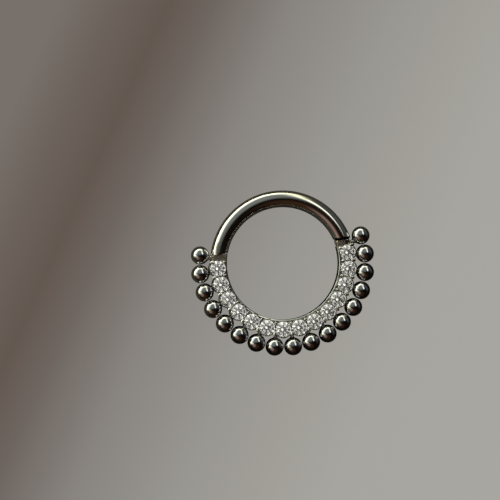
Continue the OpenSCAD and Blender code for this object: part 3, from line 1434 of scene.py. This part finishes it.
@dataclass
class Panel:
    """A bent light panel on a dome, placed by where a polished bead mirrors it.

    The spine's points give the place on the bead's disc, the panel's half width there and
    its strength. They run so that the panel's inner side is on the left. Soft are the shares
    of the half width over which the light fades out, outside and inside, and ends the share
    of the length over which it does at both ends. The inner colour also fills the panel's
    start: the higher the start's turn, the sooner it gives way. No point lies past the rim.
    """

    name: str
    spine: tuple[tuple[float, float, float, float], ...]
    outer: tuple[float, float, float] = (1.0, 1.0, 0.52)
    inner: tuple[float, float, float] = (1.0, 1.07, 1.08)
    soft: tuple[float, float] = (0.8, 0.9)
    ends: float = 0.1
    start_turn: float = 2.2
    rim: float = 0.7
    steps: int = 8
    wide: int = 12

    def spots(self) -> list[tuple[Vector, float, float, Vector]]:
        """Gives points along the spine with the half width, strength and the way across.

        Returns:
            The points.
        """
        keys = [Vector(p) for p in self.spine]
        made = []
        for k in range(len(keys) - 1):
            before, after = keys[max(k - 1, 0)], keys[min(k + 2, len(keys) - 1)]
            for s in range(self.steps + (k == len(keys) - 2)):
                t = s / self.steps
                a, b = keys[k], keys[k + 1]
                spot = 0.5 * (2 * a + (b - before) * t + (2 * before - 5 * a + 4 * b - after)
                              * t * t + (3 * a - before - 3 * b + after) * t**3)
                made.append(spot)
        rows = []
        for k, spot in enumerate(made):
            way = made[min(k + 1, len(made) - 1)] - made[max(k - 1, 0)]
            way = Vector((way.x, way.y)).normalized()
            rows.append((Vector((spot.x, spot.y)), spot.z, spot.w, Vector((-way.y, way.x))))
        return rows

    def build(self, axes: Matrix, distance: float) -> bpy.types.Object:
        """Makes the panel.

        Args:
            axes: the camera's axes.
            distance: the dome's radius in metres.

        Returns:
            The panel's object.
        """
        rows = self.spots()
        points, glow, side = [], [], []
        for k, (spot, half, strength, across) in enumerate(rows):
            end = min(k, len(rows) - 1 - k) / (self.ends * len(rows))
            for j in range(self.wide + 1):
                share = 2 * j / self.wide - 1
                place = spot + across * half * share
                if place.length > self.rim:
                    place *= self.rim / place.length
                points.append(axes @ mirrored(*place) * distance)
                fade = (1 - abs(share)) / self.soft[share > 0]
                glow.append(strength * min(1, fade)**2 * min(1, end))
                side.append(max((share + 1) / 2, 1 - self.start_turn * k / len(rows)))
        faces = []
        for i in range(len(rows) - 1):
            for j in range(self.wide):
                k = i * (self.wide + 1) + j
                faces.append((k, k + 1, k + self.wide + 2, k + self.wide + 1))
        mesh = bpy.data.meshes.new(self.name)
        mesh.from_pydata(points, [], faces)
        for key, values in (("glow", glow), ("side", side)):
            mesh.attributes.new(key, "FLOAT", "POINT").data.foreach_set("value", values)
        n = Surface(self.name)
        light = n.add("Emission", Color=n.blend(
            n.add("Attribute", attribute_name="side").outputs["Fac"],
            (*self.outer, 1), (*self.inner, 1)),
            Strength=n.add("Attribute", attribute_name="glow").outputs["Fac"])
        film = n.add("AddShader")
        n.feed(film.inputs[0], light.outputs[0])
        n.feed(film.inputs[1], n.add("BsdfTransparent").outputs[0])
        n.show(film.outputs[0])
        mesh.materials.append(n.material)
        item = bpy.data.objects.new(self.name, mesh)
        bpy.context.scene.collection.objects.link(item)
        item.visible_camera = False
        return item


@dataclass(frozen=True)
class Tone:
    """A soft patch of the room's own light, placed by where a polished bead mirrors it."""

    at: tuple[float, float]
    colour: tuple[float, float, float]
    spread: float


@dataclass
class Studio:
    """Floor, light panel, surroundings and the camera.

    The speckle's range is of its noise, and its strengths are what the ends of the range
    become. The shadow's angles are from the way to the camera, where it starts and where it
    is full, and its share is what light is left there. The clip, the floor and the dome are
    in metres.
    """

    paper: Paper
    roll: float = 7.1
    lean: float = 6.0
    lens: float = 150.0
    sensor: float = 36.0
    photo_px: float = 500
    px_per_mm: float = 14.05
    middle_px: tuple[float, float] = (282.8, 263.5)
    target_z: float = 0.6
    clip: tuple[float, float] = (0.01, 10.0)
    floor_half: float = 3.0
    floor_z: float = -0.00001
    dome: float = 0.3
    backdrop: tuple[float, float, float] = (0.36, 0.35, 0.33)
    dark: tuple[float, float, float] = (0.006, 0.004, 0.003)
    sparkle: tuple[float, float, float] = (1.0, 0.975, 0.91)
    speckle_scale: float = 1.2
    speckle_range: tuple[float, float] = (0.43, 0.6)
    speckle_strengths: tuple[float, float] = (0.2, 2.1)
    shadow: tuple[float, float] = (34.0, 14.0)
    shadow_share: float = 0.4

    @property
    def field_mm(self) -> float:
        """Width of the picture at the ring."""
        return self.photo_px / self.px_per_mm

    def axes(self) -> Matrix:
        """Gives the camera's axes.

        Returns:
            A matrix whose columns are X to the right, Y up and Z towards the camera.
        """
        roll, lean = math.radians(self.roll), math.radians(self.lean)
        right = Vector((math.cos(roll), -math.sin(roll), 0))
        up = Vector((math.sin(roll), math.cos(roll), 0))
        x = right * math.cos(lean) + Vector((0, 0, math.sin(lean)))
        return Matrix((x, up, x.cross(up))).transposed()

    def camera(self) -> None:
        """Places the camera so that the ring lies where the photograph has it."""
        data = bpy.data.cameras.new("camera")
        data.lens, data.sensor_width = self.lens, self.sensor
        distance = self.field_mm * self.lens / self.sensor
        axes = self.axes()
        x, y, z = (axes.col[k] for k in range(3))
        across, down = ((px - self.photo_px / 2) * self.field_mm / self.photo_px
                        for px in self.middle_px)
        at = Vector((0, 0, self.target_z)) + z * distance - x * across + y * down
        item = bpy.data.objects.new("camera", data)
        item.matrix_world = Matrix.Translation(at * MM) @ axes.to_4x4()
        data.clip_start, data.clip_end = self.clip
        bpy.context.scene.collection.objects.link(item)
        bpy.context.scene.camera = item

    def floor(self) -> None:
        """Lays the floor just under the ring."""
        mesh = bpy.data.meshes.new("floor")
        corners = [(x * self.floor_half, y * self.floor_half, self.floor_z)
                   for x, y in ((-1, -1), (1, -1), (1, 1), (-1, 1))]
        mesh.from_pydata(corners, [], [(0, 1, 2, 3)])
        mesh.materials.append(self.paper.material())
        item = bpy.data.objects.new("floor", mesh)
        bpy.context.scene.collection.objects.link(item)

    def panel(self) -> Panel:
        """Gives the one light panel, which the steel shows as a bright hook."""
        return Panel("panel_hook", (
            (0.31, 0.09, 0.11, 2.5),
            (0.26, 0.25, 0.11, 2.3),
            (0.205, 0.42, 0.13, 1.4),
            (0.16, 0.585, 0.17, 1.8),
            (-0.08, 0.67, 0.18, 3.6),
            (-0.36, 0.56, 0.26, 3.8),
            (-0.585, 0.355, 0.42, 3.8),
            (-0.63, 0.09, 0.31, 2.8),
            (-0.24, -0.17, 0.21, 0.8),
        ))

    def tones(self) -> list[Tone]:
        """Lists the soft patches of the dark room."""
        return [
            Tone((-0.09, 0.33), (0.20, 0.23, 0.235), 46.0),
            Tone((-0.05, -0.41), (0.033, 0.016, 0.008), 46.0),
            Tone((-0.27, -0.28), (0.24, 0.175, 0.17), 29.0),
            Tone((0.63, 0.445), (0.07, 0.082, 0.098), 56.0),
        ]

    def world(self) -> None:
        """Surrounds the ring with a dark room, plain grey to the camera.

        What the stones let through is brighter and speckled, as their many facets catch it,
        and dark round the camera, whose own shadow they show.
        """
        world = bpy.data.worlds.new("room")
        bpy.context.scene.world = world
        world.use_nodes = True
        n = Nodes(world.node_tree)
        n.tree.nodes.clear()
        way = n.add("TexCoord").outputs["Generated"]
        axes = self.axes()
        glow: object = self.dark
        for tone in self.tones():
            near = n.ramp(n.dot(way, axes @ mirrored(*tone.at)),
                          math.cos(math.radians(tone.spread)), 1.0, 0.0, 1.0)
            part = n.add("VectorMath", operation="SCALE", Scale=near)
            n.feed(part.inputs[0], tone.colour)
            total = n.add("VectorMath", operation="ADD")
            n.feed(total.inputs[0], part.outputs[0])
            n.feed(total.inputs[1], glow)
            glow = total.outputs[0]
        speckle = n.add("TexNoise", Vector=way, Scale=self.speckle_scale, Detail=1.0)
        bright = n.ramp(speckle.outputs[0], *self.speckle_range, *self.speckle_strengths,
                        curve="LINEAR")
        shade = n.ramp(n.dot(way, axes.col[2]),
                       *(math.cos(math.radians(turn)) for turn in self.shadow),
                       1.0, self.shadow_share, curve="LINEAR")
        dark = n.add("Background", Color=glow, Strength=1.0)
        inside = n.add("Background", Color=(*self.sparkle, 1),
                       Strength=n.math("MULTIPLY", bright, shade))
        plain = n.add("Background", Color=(*self.backdrop, 1), Strength=1.0)
        path = n.add("LightPath")
        room = n.choose(path.outputs["Is Transmission Ray"], dark.outputs[0],
                        inside.outputs[0])
        n.add("OutputWorld", Surface=n.choose(path.outputs["Is Camera Ray"], room,
                                              plain.outputs[0]))

    def build(self) -> None:
        """Makes the studio."""
        bpy.context.scene.view_settings.view_transform = "Standard"
        self.camera()
        self.floor()
        self.world()
        self.panel().build(self.axes(), self.dome)


def main() -> None:
    """Builds the ring and the studio."""
    logging.basicConfig(level=logging.INFO, format="%(name)s: %(message)s")
    ring = Ring()
    cast = Steel("steel_cast", ring=ring)
    drawn = Steel("steel_drawn", (0.77, 0.725, 0.645), drawn=True, mark_depth=0.0012, ring=ring)
    # A darker copy of the cast steel: painted shade on the cups and their rims.
    dark = Steel("steel_cups_painted_shade", (0.48, 0.455, 0.42), ring=ring)
    # A lighter copy of the cast steel: painted highlight on the claws, which are also rougher.
    claw = Steel("steel_claws_painted_highlight", (0.80, 0.78, 0.71), roughness=0.28, ring=ring)
    filed = Steel("steel_filed", (0.86, 0.80, 0.65), (0.24, 0.20, 0.14), roughness=0.42,
                  cloud_mm=0.25, mark_depth=0.002, ring=ring)
    pin = Steel("steel_pin", roughness=0.18, ring=ring)
    Studio(Paper("floor_paper")).build()
    SeatBand(ring, cast, filed).build()
    StoneSeats(ring, dark, claw).build()
    BeadRim(ring, cast).build()
    HingePin(ring, pin).build()
    HoopWire(ring, drawn).build()
    Stones(ClearStone("stone_brilliant")).build()


if __name__ == "__main__":
    main()
